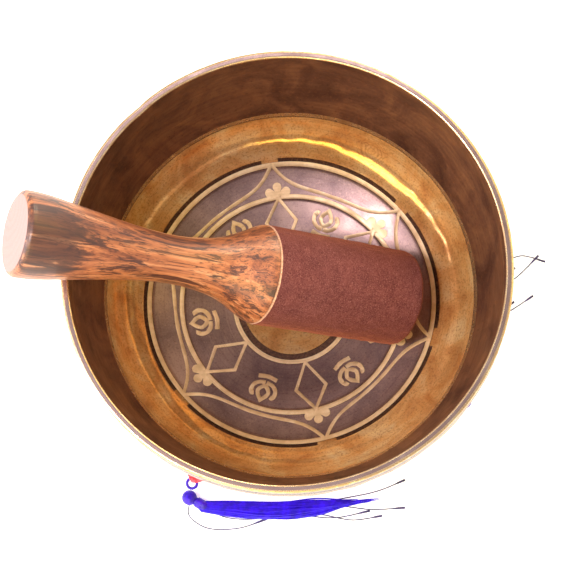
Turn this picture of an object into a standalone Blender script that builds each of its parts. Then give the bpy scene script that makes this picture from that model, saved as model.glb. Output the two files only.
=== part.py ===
"""Singing bowl with its suede-covered mallet, standing on a square tasselled cushion.

Run with: blender --background --python part.py
Metres, +Z up. The origin is the centre of the cushion's flat underside, and
X and Y run along the cushion's sides.
"""
import math

import bmesh
import bpy
import numpy as np
from mathutils import Matrix, Vector

MM = 0.001
GAP = 0.3 * MM                     # clearance between pieces that touch

# Bowl: a cast and hammered bronze bowl, depths measured down from the rim
BOWL_AXIS = Vector((2.0 * MM, 0.0, 0.0))
FOOT_Z = 16.3 * MM                 # lowest point of the bowl, sunk into the cushion
BOWL_HEIGHT = 72.0 * MM
RIM_Z = FOOT_Z + BOWL_HEIGHT
RIM_OUTER_R = 75.0 * MM
RIM_INNER_R = 72.4 * MM
RIM_ROUND = 0.4 * MM               # softened edges of the flat rim
INNER_WALL = ((0.0, 68.5), (21.5, 67.5), (40.9, 62.6), (52.7, 57.8), (61.5, 50.5),
              (66.1, 42.1), (70.6, 26.0), (72.7, 12.0))
OUTER_WALL = ((75.5, 12.0), (73.6, 27.0), (68.9, 43.5), (63.8, 52.8), (54.6, 60.6),
              (42.0, 66.0), (22.2, 71.1), (0.0, 72.0))
BOWL_STEPS = 56

# Mallet: distances along it start at the butt of the handle
MALLET_LENGTH = 145.0 * MM
SHOULDER_AT = 87.0 * MM            # where the wood meets the suede sleeve
HANDLE_OUTLINE = ((12.6, 0.0), (13.9, 1.0), (14.2, 3.2), (13.8, 9.5), (12.5, 18.1),
                  (11.2, 26.5), (9.9, 35.0), (8.8, 43.8), (8.2, 52.6), (8.5, 61.0),
                  (10.0, 70.4), (12.2, 76.3), (14.8, 81.5), (16.6, 85.2), (17.2, 87.0))
SLEEVE_R = 17.3 * MM
SLEEVE_END_R = 17.1 * MM
SLEEVE_THICK = 2.0 * MM
SLEEVE_ROUND = 1.6 * MM            # roll of the suede over the striking end
MALLET_TILT = math.radians(30.3)   # head down
MALLET_HEADING = math.radians(-18.9)
MALLET_BUTT_OUT = 86.0 * MM        # butt centre to bowl axis, along the heading
MALLET_SIDE = 1.3 * MM             # mallet axis passes this far beside the bowl axis
MALLET_BUTT_RISE = 21.95 * MM       # butt centre above the rim
TURNED_STEPS = 32

# Cushion: two panels sewn round the edge with a piped seam
CUSHION_HALF = 53.0 * MM
SIDE_PULL = 0.05                   # how far the sides draw in between the corners
CORNER_ROUND = 0.03
SEAM_Z = 9.0 * MM
TOP_CROWN = 11.0 * MM
CROWN_POWER = 0.45
UNDER_FILL = 1.7                   # above 1 presses the underside flat
DISH_CLEAR = 0.7 * MM              # air between the faceted dish and the bowl
CLOTH = 0.8 * MM
PIPING_R = 1.3 * MM
PANEL_INSET = 1.8 * MM
FILLING_INSET = 8.0 * MM
FILLING_CLEAR = 1.9 * MM
PANEL_CELLS = 14
PIPING_CELLS = 12                  # piping points on each side

# Tassels: one at each corner, lying on the surface that the cushion stands on
LOOP_OUT = 2.0 * MM                # loop centre beyond the corner, both ways
LOOP_Z = 6.75 * MM
LOOP_R = 1.9 * MM
LOOP_CORD_R = 0.55 * MM
KNOT_R = 2.8 * MM
KNOT_Z = 3.0 * MM
KNOT_OUT = 3.6 * MM
BINDING_R = 2.0 * MM
BINDING_LENGTH = 2.4 * MM
BINDING_Z = 2.6 * MM
SKIRT_CLEAR = 1.3 * MM             # binding to skirt, which may leave it at an angle
SKIRT_Z = 2.4 * MM
SKIRT_FLAT = 0.6                   # height of the skirt over its width
SKIRT_RUN = 29.0 * MM              # each half of the skirt
SKIRT_RADII = ((0.0, 2.0), (0.35, 3.2), (0.75, 3.6), (1.0, 2.6))
SKIRT_POINTS = 9
# corner: signs of X and Y, knot heading, binding heading, skirt heading, curl (degrees)
TASSELS = {
    "front_left": (-1, -1, -113, -45, -14.7, 5),
    "front_right": (1, -1, 62, 68, 60, -8),
    "back_right": (1, 1, 160, 168, 170, 4),
    "back_left": (-1, 1, 252, 258, 260, 4),
}

# name: colour, roughness, metallic
FINISHES = {
    "bronze": ((0.42, 0.27, 0.13), 0.42, 1.0),
    "wood": ((0.42, 0.17, 0.06), 0.4, 0.0),
    "suede": ((0.16, 0.035, 0.018), 0.95, 0.0),
    "brocade": ((0.55, 0.02, 0.03), 0.6, 0.0),
    "backing": ((0.45, 0.02, 0.03), 0.85, 0.0),
    "piping_cord": ((0.62, 0.05, 0.05), 0.6, 0.0),
    "wadding": ((0.85, 0.83, 0.78), 1.0, 0.0),
    "floss": ((0.06, 0.02, 0.62), 0.5, 0.0),
}


def clear_scene():
    for obj in list(bpy.data.objects):
        bpy.data.objects.remove(obj, do_unlink=True)


def make_material(name):
    colour, roughness, metallic = FINISHES[name]
    material = bpy.data.materials.new(name)
    material.use_nodes = True
    shader = material.node_tree.nodes["Principled BSDF"]
    shader.inputs["Base Color"].default_value = (*colour, 1.0)
    shader.inputs["Roughness"].default_value = roughness
    shader.inputs["Metallic"].default_value = metallic
    return material


def add_object(name, data, material, parent=None):
    obj = bpy.data.objects.new(name, data)
    obj.data.materials.append(MATERIALS[material])
    PARTS.objects.link(obj)
    obj.parent = parent
    return obj


def add_pivot(name, location, parent=None):
    """An empty on a joint's axis, which its moving pieces hang from."""
    pivot = bpy.data.objects.new(name, None)
    pivot.location = location
    pivot.empty_display_size = 0.01
    PARTS.objects.link(pivot)
    pivot.parent = parent
    return pivot


def smooth_path(points, per_span):
    """Catmull-Rom curve through the points, which may have two or three coordinates."""
    points = [np.array(p, dtype=float) for p in points]
    padded = [2 * points[0] - points[1], *points, 2 * points[-1] - points[-2]]
    path = []
    for before, start, end, after in zip(padded, padded[1:], padded[2:], padded[3:]):
        for step in range(per_span):
            t = step / per_span
            path.append(0.5 * (2 * start + (end - before) * t
                               + (2 * before - 5 * start + 4 * end - after) * t ** 2
                               + (3 * start - before - 3 * end + after) * t ** 3))
    path.append(points[-1])
    return path


def turned(name, profile, material, steps, closed=False, parent=None):
    """Turn a profile of (radius, height) about Z; it runs down its outer side."""
    mesh = bpy.data.meshes.new(name)
    edges = [(i, i + 1) for i in range(len(profile) - 1)]
    if closed:
        edges.append((len(profile) - 1, 0))
    mesh.from_pydata([(r, 0.0, z) for r, z in profile], edges, [])
    obj = add_object(name, mesh, material, parent)
    screw = obj.modifiers.new("turn", "SCREW")
    screw.steps = steps
    screw.render_steps = steps
    screw.use_merge_vertices = True
    screw.merge_threshold = 0.00001
    screw.use_smooth_shade = True
    return obj


def bowl_outer_height(radius):
    """Height of the bowl's outside above its lowest point, near the foot."""
    curve = smooth_path(OUTER_WALL, 4)[::-1]
    radii = [p[0] * MM for p in curve]
    heights = [BOWL_HEIGHT - p[1] * MM for p in curve]
    return float(np.interp(radius, radii, heights))


def make_bowl(parent):
    inside = [(r * MM, -depth * MM) for r, depth in smooth_path(INNER_WALL, 2)]
    rim = [(RIM_INNER_R, -RIM_ROUND), (RIM_INNER_R + RIM_ROUND, 0.0),
           (RIM_OUTER_R - RIM_ROUND, 0.0), (RIM_OUTER_R, -RIM_ROUND)]
    outside = [(r * MM, -depth * MM) for r, depth in smooth_path(OUTER_WALL, 2)]
    bowl = turned("bowl", inside + rim + outside, "bronze", BOWL_STEPS, parent=parent)
    bowl.location = (0.0, 0.0, RIM_Z)
    return bowl


def mallet_matrix():
    """Local Z runs from the butt to the head; the head points down into the bowl."""
    along = Vector((math.cos(MALLET_HEADING) * math.cos(MALLET_TILT),
                    math.sin(MALLET_HEADING) * math.cos(MALLET_TILT),
                    -math.sin(MALLET_TILT)))
    side = Vector((-math.sin(MALLET_HEADING), math.cos(MALLET_HEADING), 0.0))
    up = along.cross(side)
    ahead = Vector((math.cos(MALLET_HEADING), math.sin(MALLET_HEADING), 0.0))
    butt = BOWL_AXIS - MALLET_BUTT_OUT * ahead + MALLET_SIDE * side
    butt.z = RIM_Z + MALLET_BUTT_RISE
    return Matrix.Translation(butt) @ Matrix((side, up, along)).transposed().to_4x4()


def make_mallet(parent):
    core_r = SLEEVE_END_R - SLEEVE_THICK - GAP
    core_top = MALLET_LENGTH - SLEEVE_ROUND / 2
    core = [(0.0, core_top), (core_r - SLEEVE_ROUND, core_top), (core_r, core_top - SLEEVE_ROUND),
            (core_r, SHOULDER_AT)]
    grip = [(r * MM, at * MM) for r, at in reversed(HANDLE_OUTLINE)]
    butt = [(0.0, 0.0)]
    handle = turned("mallet_handle", core + grip + butt, "wood", TURNED_STEPS, parent=parent)

    bottom = SHOULDER_AT + GAP
    top = MALLET_LENGTH
    bore_r = SLEEVE_END_R - SLEEVE_THICK
    middle = (bottom + top) / 2
    sleeve_profile = [(bore_r, top), (SLEEVE_END_R - SLEEVE_ROUND, top),
                      (SLEEVE_END_R - SLEEVE_ROUND * 0.3, top - SLEEVE_ROUND * 0.3),
                      (SLEEVE_END_R, top - SLEEVE_ROUND), (SLEEVE_R, middle),
                      (SLEEVE_R, bottom), (bore_r, bottom)]
    sleeve = turned("suede_sleeve", sleeve_profile, "suede", TURNED_STEPS, closed=True,
                    parent=parent)
    for piece in (handle, sleeve):
        piece.matrix_world = mallet_matrix()


def cushion_point(u, v, inset):
    """Plan position on the cushion, u and v from -1 to 1 across it."""
    half = CUSHION_HALF - inset
    corner = 1 - CORNER_ROUND * (u * v) ** 6
    x = half * u * (1 - SIDE_PULL * (1 - v * v)) * corner
    y = half * v * (1 - SIDE_PULL * (1 - u * u)) * corner
    return x, y


def crown(u, v):
    return ((1 - u * u) * (1 - v * v)) ** CROWN_POWER


def top_height(u, v, x, y):
    """Crowned top, dished where the bowl stands in it."""
    free = SEAM_Z + TOP_CROWN * crown(u, v)
    radius = (Vector((x, y, 0.0)) - BOWL_AXIS).length
    under_bowl = FOOT_Z + bowl_outer_height(radius) - DISH_CLEAR
    return min(free, under_bowl)


def under_height(u, v):
    """Underside, which lies flat on what it stands on and turns up to the seam."""
    return SEAM_Z * (1 - min(1.0, UNDER_FILL * crown(u, v)))


def ease(t):
    """Crowd the grid towards the seam, where the cloth curves most."""
    return math.sin(math.radians(90) * t)


def make_panel(name, material, is_top):
    bm = bmesh.new()
    bmesh.ops.create_grid(bm, x_segments=PANEL_CELLS, y_segments=PANEL_CELLS, size=1.0)
    for vert in bm.verts:
        u, v = ease(vert.co.x), ease(vert.co.y)
        x, y = cushion_point(u, v, PANEL_INSET)
        if is_top:
            z = max(top_height(u, v, x, y), SEAM_Z + CLOTH + GAP / 2)
        else:
            z = min(under_height(u, v), SEAM_Z - CLOTH - GAP / 2)
        vert.co = (x, y, z)
    if not is_top:
        bmesh.ops.reverse_faces(bm, faces=bm.faces)
    mesh = bpy.data.meshes.new(name)
    bm.to_mesh(mesh)
    bm.free()
    mesh.shade_smooth()
    obj = add_object(name, mesh, material)
    cloth = obj.modifiers.new("cloth", "SOLIDIFY")
    cloth.thickness = CLOTH
    cloth.offset = -1.0
    return obj


def make_filling():
    bm = bmesh.new()
    bmesh.ops.create_cube(bm, size=2.0)
    bmesh.ops.subdivide_edges(bm, edges=bm.edges, cuts=7, use_grid_fill=True)
    for vert in bm.verts:
        u, v = vert.co.x, vert.co.y
        share = (vert.co.z + 1) / 2
        x, y = cushion_point(u, v, FILLING_INSET)
        scale = (CUSHION_HALF - FILLING_INSET) / (CUSHION_HALF - PANEL_INSET)
        low = under_height(u * scale, v * scale) + FILLING_CLEAR
        high = top_height(u * scale, v * scale, x, y) - FILLING_CLEAR
        vert.co = (x, y, low + (high - low) * share)
    mesh = bpy.data.meshes.new("cushion_filling")
    bm.to_mesh(mesh)
    bm.free()
    mesh.shade_smooth()
    return add_object("cushion_filling", mesh, "wadding")


def make_tube(name, points, radii, material, closed=False, resolution=2, parent=None):
    curve = bpy.data.curves.new(name, "CURVE")
    curve.dimensions = "3D"
    curve.bevel_depth = 1.0
    curve.bevel_resolution = resolution
    curve.use_fill_caps = True
    spline = curve.splines.new("POLY")
    spline.points.add(len(points) - 1)
    for place, position, radius in zip(spline.points, points, radii):
        place.co = (*position, 1.0)
        place.radius = radius
    spline.use_cyclic_u = closed
    spline.use_smooth = True
    return add_object(name, curve, material, parent)


def make_piping():
    points = []
    for side in range(4):
        turn = Matrix.Rotation(math.radians(90 * side), 3, "Z")
        for step in range(PIPING_CELLS):
            x, y = cushion_point(ease(2 * step / PIPING_CELLS - 1), -1.0, 0.0)
            points.append(turn @ Vector((x, y, SEAM_Z)))
    return make_tube("cushion_piping", points, [PIPING_R] * len(points), "piping_cord",
                     closed=True)


def heading_vector(degrees):
    angle = math.radians(degrees)
    return Vector((math.cos(angle), math.sin(angle), 0.0))


def make_loop(corner, centre):
    bpy.ops.mesh.primitive_torus_add(major_segments=14, minor_segments=6, location=centre,
                                     major_radius=LOOP_R, minor_radius=LOOP_CORD_R)
    mesh = bpy.context.object.data
    bpy.data.objects.remove(bpy.context.object)
    mesh.shade_smooth()
    loop = add_object("tassel_loop_" + corner, mesh, "floss")
    loop.location = centre
    return loop


def make_knot(corner, pivot, place):
    bm = bmesh.new()
    bmesh.ops.create_uvsphere(bm, u_segments=12, v_segments=8, radius=KNOT_R)
    mesh = bpy.data.meshes.new("knot")
    bm.to_mesh(mesh)
    bm.free()
    mesh.shade_smooth()
    knot = add_object("tassel_knot_" + corner, mesh, "floss", pivot)
    knot.location = place
    return knot


def make_binding(corner, pivot, place, degrees):
    bm = bmesh.new()
    bmesh.ops.create_cone(bm, cap_ends=True, segments=12, radius1=BINDING_R, radius2=BINDING_R,
                          depth=BINDING_LENGTH)
    mesh = bpy.data.meshes.new("binding")
    bm.to_mesh(mesh)
    bm.free()
    mesh.shade_smooth()
    mesh.set_sharp_from_angle(angle=math.radians(40))
    binding = add_object("tassel_binding_" + corner, mesh, "floss", pivot)
    binding.location = place
    binding.rotation_euler = (0.0, math.radians(90), math.radians(degrees))
    return binding


def make_skirt(corner, pivot, start, heading, curl):
    middle = start + SKIRT_RUN * heading_vector(heading - curl)
    end = middle + SKIRT_RUN * heading_vector(heading + curl)
    route = smooth_path((start, middle, end), (SKIRT_POINTS - 1) // 2)
    shares = np.linspace(0.0, 1.0, len(route))
    at, radii = zip(*SKIRT_RADII)
    widths = [float(r) * MM for r in np.interp(shares, at, radii)]
    skirt = make_tube("tassel_skirt_" + corner, [(p[0], p[1], 0.0) for p in route], widths,
                      "floss", parent=pivot)
    skirt.location.z = SKIRT_Z - LOOP_Z
    skirt.scale.z = SKIRT_FLAT
    return skirt


def make_tassel(corner):
    sign_x, sign_y, knot_to, binding_to, heading, curl = TASSELS[corner]
    reach = CUSHION_HALF * (1 - CORNER_ROUND) + LOOP_OUT
    centre = Vector((sign_x * reach, sign_y * reach, LOOP_Z))
    make_loop(corner, centre)
    pivot = add_pivot("tassel_pivot_" + corner, centre)
    knot = KNOT_OUT * heading_vector(knot_to)
    forward = heading_vector(binding_to)
    binding = knot + (KNOT_R + GAP + BINDING_LENGTH / 2) * forward
    start = binding + (BINDING_LENGTH / 2 + SKIRT_CLEAR) * forward
    down = Vector((0.0, 0.0, 1.0))
    make_knot(corner, pivot, knot + (KNOT_Z - LOOP_Z) * down)
    make_binding(corner, pivot, binding + (BINDING_Z - LOOP_Z) * down, binding_to)
    make_skirt(corner, pivot, start, heading, curl)


def main():
    make_panel("cushion_top_panel", "brocade", is_top=True)
    make_panel("cushion_bottom_panel", "backing", is_top=False)
    make_filling()
    make_piping()
    bowl_pivot = add_pivot("bowl_pivot", BOWL_AXIS)
    make_bowl(bowl_pivot)
    bpy.context.view_layer.update()
    make_mallet(bowl_pivot)
    for corner in TASSELS:
        make_tassel(corner)
    bpy.context.view_layer.update()


clear_scene()
PARTS = bpy.data.collections.new("singing_bowl")
bpy.context.scene.collection.children.link(PARTS)
MATERIALS = {name: make_material(name) for name in FINISHES}
main()
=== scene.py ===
"""Looks of the singing bowl, its suede-covered mallet and its tasselled cushion.

Shapes are worked out in millimetres, in the CAD part's frame: the origin is the centre of the
cushion's flat underside, +Z is up. They become metres when a mesh is made.
"""

import math

import bmesh
import bpy
import numpy as np
from mathutils import Matrix, Vector


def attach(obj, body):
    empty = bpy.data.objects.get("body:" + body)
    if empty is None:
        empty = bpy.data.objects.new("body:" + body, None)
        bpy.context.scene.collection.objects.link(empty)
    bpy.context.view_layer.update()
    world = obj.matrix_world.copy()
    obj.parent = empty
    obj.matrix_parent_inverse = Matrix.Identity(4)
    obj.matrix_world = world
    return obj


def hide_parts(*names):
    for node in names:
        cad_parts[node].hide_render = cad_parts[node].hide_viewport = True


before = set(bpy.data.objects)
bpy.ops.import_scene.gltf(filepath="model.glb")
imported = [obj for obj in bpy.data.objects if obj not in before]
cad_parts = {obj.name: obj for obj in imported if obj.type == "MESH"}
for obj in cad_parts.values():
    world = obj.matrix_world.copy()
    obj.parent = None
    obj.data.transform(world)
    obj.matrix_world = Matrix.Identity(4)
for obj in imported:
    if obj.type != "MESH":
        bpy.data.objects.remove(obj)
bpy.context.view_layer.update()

MM = 0.001

# The CAD part's own dimensions
BOWL_AXIS = (2.0, 0.0)
RIM_Z = 88.3
FOOT_Z = 16.3
BOWL_HEIGHT = 72.0
RIM_OUTER_R = 75.0
RIM_INNER_R = 72.4
RIM_ROUND = 0.4
INNER_WALL = ((0.0, 68.5), (21.5, 67.5), (40.9, 62.6), (52.7, 57.8), (61.5, 50.5),
              (66.1, 42.1), (70.6, 26.0), (72.7, 12.0))
OUTER_WALL = ((75.5, 12.0), (73.6, 27.0), (68.9, 43.5), (63.8, 52.8), (54.6, 60.6),
              (42.0, 66.0), (22.2, 71.1), (0.0, 72.0))
MALLET_LENGTH = 145.0
SHOULDER_AT = 87.0
HANDLE_OUTLINE = ((12.6, 0.0), (13.9, 1.0), (14.2, 3.2), (13.8, 9.5), (12.5, 18.1),
                  (11.2, 26.5), (9.9, 35.0), (8.8, 43.8), (8.2, 52.6), (8.5, 61.0),
                  (10.0, 70.4), (12.2, 76.3), (14.8, 81.5), (16.6, 85.2), (17.2, 87.0))
SLEEVE_R = 17.3
SLEEVE_END_R = 17.1
SLEEVE_THICK = 2.0
SLEEVE_ROUND = 1.6
MALLET_TILT = math.radians(30.3)
MALLET_HEADING = math.radians(-18.9)
MALLET_BUTT_OUT = 86.0
MALLET_SIDE = 1.3
MALLET_BUTT_RISE = 21.95
CUSHION_HALF = 53.0
SIDE_PULL = 0.05
CORNER_ROUND = 0.03
SEAM_Z = 9.0
TOP_CROWN = 11.0
CROWN_POWER = 0.45
UNDER_FILL = 1.7
DISH_CLEAR = 0.7
PANEL_INSET = 1.8
LOOP_OUT = 2.0
LOOP_Z = 6.75
LOOP_R = 1.9
KNOT_R = 2.8
KNOT_Z = 3.0
KNOT_OUT = 3.6
BINDING_LENGTH = 2.4
BINDING_Z = 2.6
SKIRT_CLEAR = 1.3
SKIRT_Z = 2.4
SKIRT_FLAT = 0.6
SKIRT_RUN = 29.0
SKIRT_RADII = ((0.0, 2.0), (0.35, 3.2), (0.75, 3.6), (1.0, 2.6))
# corner: signs of X and Y, knot heading, binding heading, skirt heading, curl (degrees)
TASSELS = {
    "front_left": (-1, -1, -113, -45, -14.7, 5),
    "front_right": (1, -1, 62, 68, 60, -8),
    "back_right": (1, 1, 160, 168, 170, 4),
    "back_left": (-1, 1, 252, 258, 260, 4),
}

# Camera, placed round the middle of the rim
CAMERA_DISTANCE = 495.4
CAMERA_ELEVATION = math.radians(76.81)
CAMERA_AZIMUTH = math.radians(-7.5)
CAMERA_ROLL = math.radians(-8.459)
CAMERA_PAN = math.radians(0.0722)
CAMERA_TILT = math.radians(-0.8885)
CAMERA_LENS = 93.75
CAMERA_SENSOR = 36.0


# ---------------------------------------------------------------- mesh tools

UPWARD = np.array((0.0, 0.0, 1.0))
SHARP_ANGLE = math.radians(50)    # edges that turn by more than this are left sharp


class Shape:
    """Points in millimetres and faces with a material number each, gathered for one mesh."""

    def __init__(self):
        self.points = []
        self.faces = []
        self.numbers = []
        self.count = 0

    def add(self, points, faces, numbers=0):
        """Add points and the faces between them; numbers is one material number, or one a face."""
        points = np.asarray(points, dtype=float).reshape(-1, 3)
        self.points.append(points)
        self.faces.extend([tuple(int(i) + self.count for i in face) for face in faces])
        self.numbers.extend(np.broadcast_to(numbers, len(faces)).tolist())
        self.count += len(points)

    def mesh(self, name):
        mesh = bpy.data.meshes.new(name)
        mesh.from_pydata((np.concatenate(self.points) * MM).tolist(), [], self.faces)
        mesh.polygons.foreach_set("material_index", self.numbers)
        bm = bmesh.new()
        bm.from_mesh(mesh)
        bmesh.ops.recalc_face_normals(bm, faces=bm.faces)
        bm.to_mesh(mesh)
        bm.free()
        mesh.shade_smooth()
        mesh.set_sharp_from_angle(angle=SHARP_ANGLE)
        return mesh


def ease(t):
    """0 up to t = 0, 1 from t = 1 on, and a smooth change between."""
    t = np.clip(t, 0.0, 1.0)
    return t * t * (3 - 2 * t)


def bell(offset, width):
    """1 where the offset is 0, fading to nothing over a few widths."""
    return np.exp(-(offset / width) ** 2)


def bearing_gap(degrees, bearing):
    """Signed degrees from a bearing, the short way round."""
    return (degrees - bearing + 180) % 360 - 180


def wander(share, seed, turns=5, closed=True):
    """Smooth, repeatable wandering between about -1 and 1 as share goes from 0 to 1."""
    chance = np.random.default_rng(seed)
    total = np.zeros_like(share, dtype=float)
    for turn in range(1, turns + 1):
        rate = turn if closed else turn * 0.8
        total += chance.uniform(-1, 1) * np.sin(2 * math.pi * (rate * share + chance.random()))
    return total / math.sqrt(turns)


def circle(count):
    """Angles of points spaced evenly round a circle, in radians."""
    return np.linspace(0.0, 2 * math.pi, count, endpoint=False)


def unit(vectors):
    return vectors / np.linalg.norm(vectors, axis=-1, keepdims=True)


def swung(phase, across, up=UPWARD):
    """Vectors at an angle from one direction towards another."""
    return np.cos(phase)[..., None] * across + np.sin(phase)[..., None] * up


def directions(path, closed=False):
    """Unit vector along a path at each of its points."""
    if closed:
        return unit(np.roll(path, -1, axis=0) - np.roll(path, 1, axis=0))
    return unit(np.gradient(path, axis=0))


def lengths(path):
    """Length along a path at each of its points."""
    return np.concatenate([[0.0], np.cumsum(np.linalg.norm(np.diff(path, axis=0), axis=1))])


def at_lengths(path, at):
    """Points of a path at the given lengths along it."""
    length = lengths(path)
    return np.stack([np.interp(at, length, column) for column in path.T], axis=-1)


def smooth_path(points, per_span):
    """Catmull-Rom curve through the points."""
    points = [np.array(p, dtype=float) for p in points]
    padded = [2 * points[0] - points[1], *points, 2 * points[-1] - points[-2]]
    path = []
    for before, start, end, after in zip(padded, padded[1:], padded[2:], padded[3:]):
        for t in np.arange(per_span) / per_span:
            path.append(0.5 * (2 * start + (end - before) * t
                               + (2 * before - 5 * start + 4 * end - after) * t ** 2
                               + (3 * start - before - 3 * end + after) * t ** 3))
    path.append(points[-1])
    return np.array(path)


def grid_faces(rows, columns, wrap_rows=False, wrap_columns=False):
    """Quads of a grid of points, which may close on itself either way."""
    row, column = np.meshgrid(np.arange(rows if wrap_rows else rows - 1),
                              np.arange(columns if wrap_columns else columns - 1), indexing="ij")
    next_row = (row + 1) % rows
    next_column = (column + 1) % columns
    corners = (row * columns + column, row * columns + next_column,
               next_row * columns + next_column, next_row * columns + column)
    return np.stack(corners, axis=-1).reshape(-1, 4)


def turned_grid(radii, heights, columns):
    """Rings of points about Z; radii and heights have a row a ring, one value or one a point."""
    turn = circle(columns)
    return np.stack([radii * np.cos(turn), radii * np.sin(turn), heights + 0 * turn], axis=-1)


def add_turned(shape, grid, numbers=0, wrap_rows=False):
    """Add a grid of rings; unless the rings close on themselves, a fan closes each end."""
    rows, columns = grid.shape[:2]
    base = shape.count
    shape.add(grid, grid_faces(rows, columns, wrap_rows, True), numbers)
    if wrap_rows:
        return
    for row in (0, rows - 1):
        first = base + row * columns - shape.count
        fan = [(first + i, first + (i + 1) % columns, 0) for i in range(columns)]
        edge_number = int(np.atleast_1d(numbers)[0 if row == 0 else -1])
        shape.add(grid[row].mean(axis=0), fan, edge_number)


def add_loops(shape, rings, closed, numbers=0, end_number=0):
    """Add a row of small rings along a path, capped at both ends unless the path is closed."""
    count, sides = rings.shape[:2]
    faces = grid_faces(count, sides, closed, True).tolist()
    numbers = np.resize(numbers, len(faces)).tolist()
    if not closed:
        last = (count - 1) * sides
        faces += [tuple(range(sides)), tuple(range(last, last + sides))]
        numbers += [end_number] * 2
    shape.add(rings, faces, numbers)


def tube(shape, path, radii, sides=6, closed=False, number=0):
    """Add a tube along a path that is nowhere vertical."""
    path = np.asarray(path, dtype=float)
    along = directions(path, closed)
    side = unit(np.cross(along, UPWARD))
    up = np.cross(side, along)
    reach = np.broadcast_to(radii, len(path))[:, None, None]
    rings = path[:, None] + reach * swung(circle(sides)[None], side[:, None], up[:, None])
    add_loops(shape, rings, closed, number, number)


def add_piece(name, shape, materials, body, replaces=(), matrix=None):
    """Make the mesh an object that rides on a CAD body."""
    piece = bpy.data.objects.new(name, shape.mesh(name))
    bpy.context.scene.collection.objects.link(piece)
    for material in materials:
        piece.data.materials.append(material)
    if matrix is not None:
        piece.matrix_world = matrix
    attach(piece, body)
    if replaces:
        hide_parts(*replaces)
    return piece


# ---------------------------------------------------------------- material tools

def colour(red, green, blue):
    """A colour given as 0 to 255 in sRGB, as the linear value that a shader takes."""
    scaled = [c / 255 for c in (red, green, blue)]
    linear = [c / 12.92 if c <= 0.04045 else ((c + 0.055) / 1.055) ** 2.4 for c in scaled]
    return (*linear, 1.0)


class Look:
    """A procedural material. Its methods add nodes and give back the socket to use.

    Colours are given to it as three sRGB numbers from 0 to 255.
    """

    def __init__(self, name):
        self.material = bpy.data.materials.new(name)
        self.material.use_nodes = True
        self.tree = self.material.node_tree
        self.place = self.node("ShaderNodeTexCoord").outputs["Object"]
        self.x, self.y, self.z = self.node("ShaderNodeSeparateXYZ", {0: self.place}).outputs

    def node(self, kind, inputs=None, **settings):
        node = self.tree.nodes.new(kind)
        for key, value in settings.items():
            setattr(node, key, value)
        for key, value in (inputs or {}).items():
            self.put(node.inputs[key], value)
        return node

    def put(self, socket, value):
        if isinstance(value, bpy.types.NodeSocket):
            self.tree.links.new(value, socket)
        elif socket.type == "RGBA" and len(value) == 3:
            socket.default_value = colour(*value)
        else:
            socket.default_value = value

    def scaled(self, x, y, z):
        return self.node("ShaderNodeVectorMath", {0: self.place, 1: (x, y, z)},
                         operation="MULTIPLY").outputs[0]

    def length(self, vector):
        return self.node("ShaderNodeVectorMath", {0: vector}, operation="LENGTH").outputs["Value"]

    def around(self, radial, upright, across):
        """Coordinates that streak round the Z axis: distance out, height, and a little drift."""
        flat = self.node("ShaderNodeCombineXYZ", {0: self.x, 1: self.y}).outputs[0]
        drift = self.times(self.plus(self.x, self.y), across)
        streaks = {0: self.times(self.length(flat), radial), 1: self.times(self.z, upright),
                   2: drift}
        return self.node("ShaderNodeCombineXYZ", streaks).outputs[0]

    def away_from(self, point, size):
        """0 at a point given in millimetres, 1 at that many millimetres from it."""
        offset = self.node("ShaderNodeVectorMath",
                           {0: self.place, 1: tuple(c * MM for c in point)},
                           operation="SUBTRACT").outputs[0]
        return self.math("DIVIDE", self.length(offset), size * MM)

    def noise(self, scale, detail=4.0, rough=0.55, twist=0.0, vector=None):
        inputs = {"Vector": self.place if vector is None else vector, "Scale": scale,
                  "Detail": detail, "Roughness": rough, "Distortion": twist}
        return self.node("ShaderNodeTexNoise", inputs).outputs["Fac"]

    def math(self, operation, a, b=0.0, clamp=False):
        return self.node("ShaderNodeMath", {0: a, 1: b}, operation=operation,
                         use_clamp=clamp).outputs[0]

    def plus(self, a, b):
        return self.math("ADD", a, b)

    def times(self, a, b):
        return self.math("MULTIPLY", a, b)

    def wave(self, value, rate):
        return self.math("SINE", self.times(value, rate))

    def between(self, value, low, high, start=0.0, end=1.0):
        """The value's run from low to high, spread over start to end and held there."""
        return self.node("ShaderNodeMapRange",
                         {"Value": value, "From Min": low, "From Max": high,
                          "To Min": start, "To Max": end}, clamp=True).outputs["Result"]

    def mix(self, share, a, b):
        node = self.node("ShaderNodeMix", data_type="RGBA")
        for index, value in ((0, share), (6, a), (7, b)):
            self.put(node.inputs[index], value)
        return node.outputs[2]

    def over(self, tone, value, low, high, most, *shade):
        """A colour laid over the tone: none of it at low, the share most of it at high."""
        return self.mix(self.between(value, low, high, 0.0, most), tone, shade)

    def ramp(self, value, *stops):
        """Colour ramp; each stop is a place and a colour's three numbers."""
        node = self.node("ShaderNodeValToRGB", {"Fac": value})
        elements = node.color_ramp.elements
        while len(elements) < len(stops):
            elements.new(0.5)
        for element, (place, *shade) in zip(elements, stops):
            element.position = place
            element.color = colour(*shade)
        return node.outputs["Color"]

    def bump(self, height, depth, strength=1.0, under=None):
        """Bump of the given depth in millimetres, on top of another bump if there is one."""
        inputs = {"Height": height, "Distance": depth * MM, "Strength": strength}
        if under is not None:
            inputs["Normal"] = under
        return self.node("ShaderNodeBump", inputs).outputs["Normal"]

    def done(self, base, roughness, metallic, normal=None, **others):
        values = {"Base Color": base, "Roughness": roughness, "Metallic": metallic}
        if normal is not None:
            values["Normal"] = normal
        for key, value in others.items():
            values[key.replace("_", " ").title().replace("Ior", "IOR")] = value
        shader = self.tree.nodes["Principled BSDF"]
        for key, value in values.items():
            self.put(shader.inputs[key], value)
        return self.material


# ---------------------------------------------------------------- bronze

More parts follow.
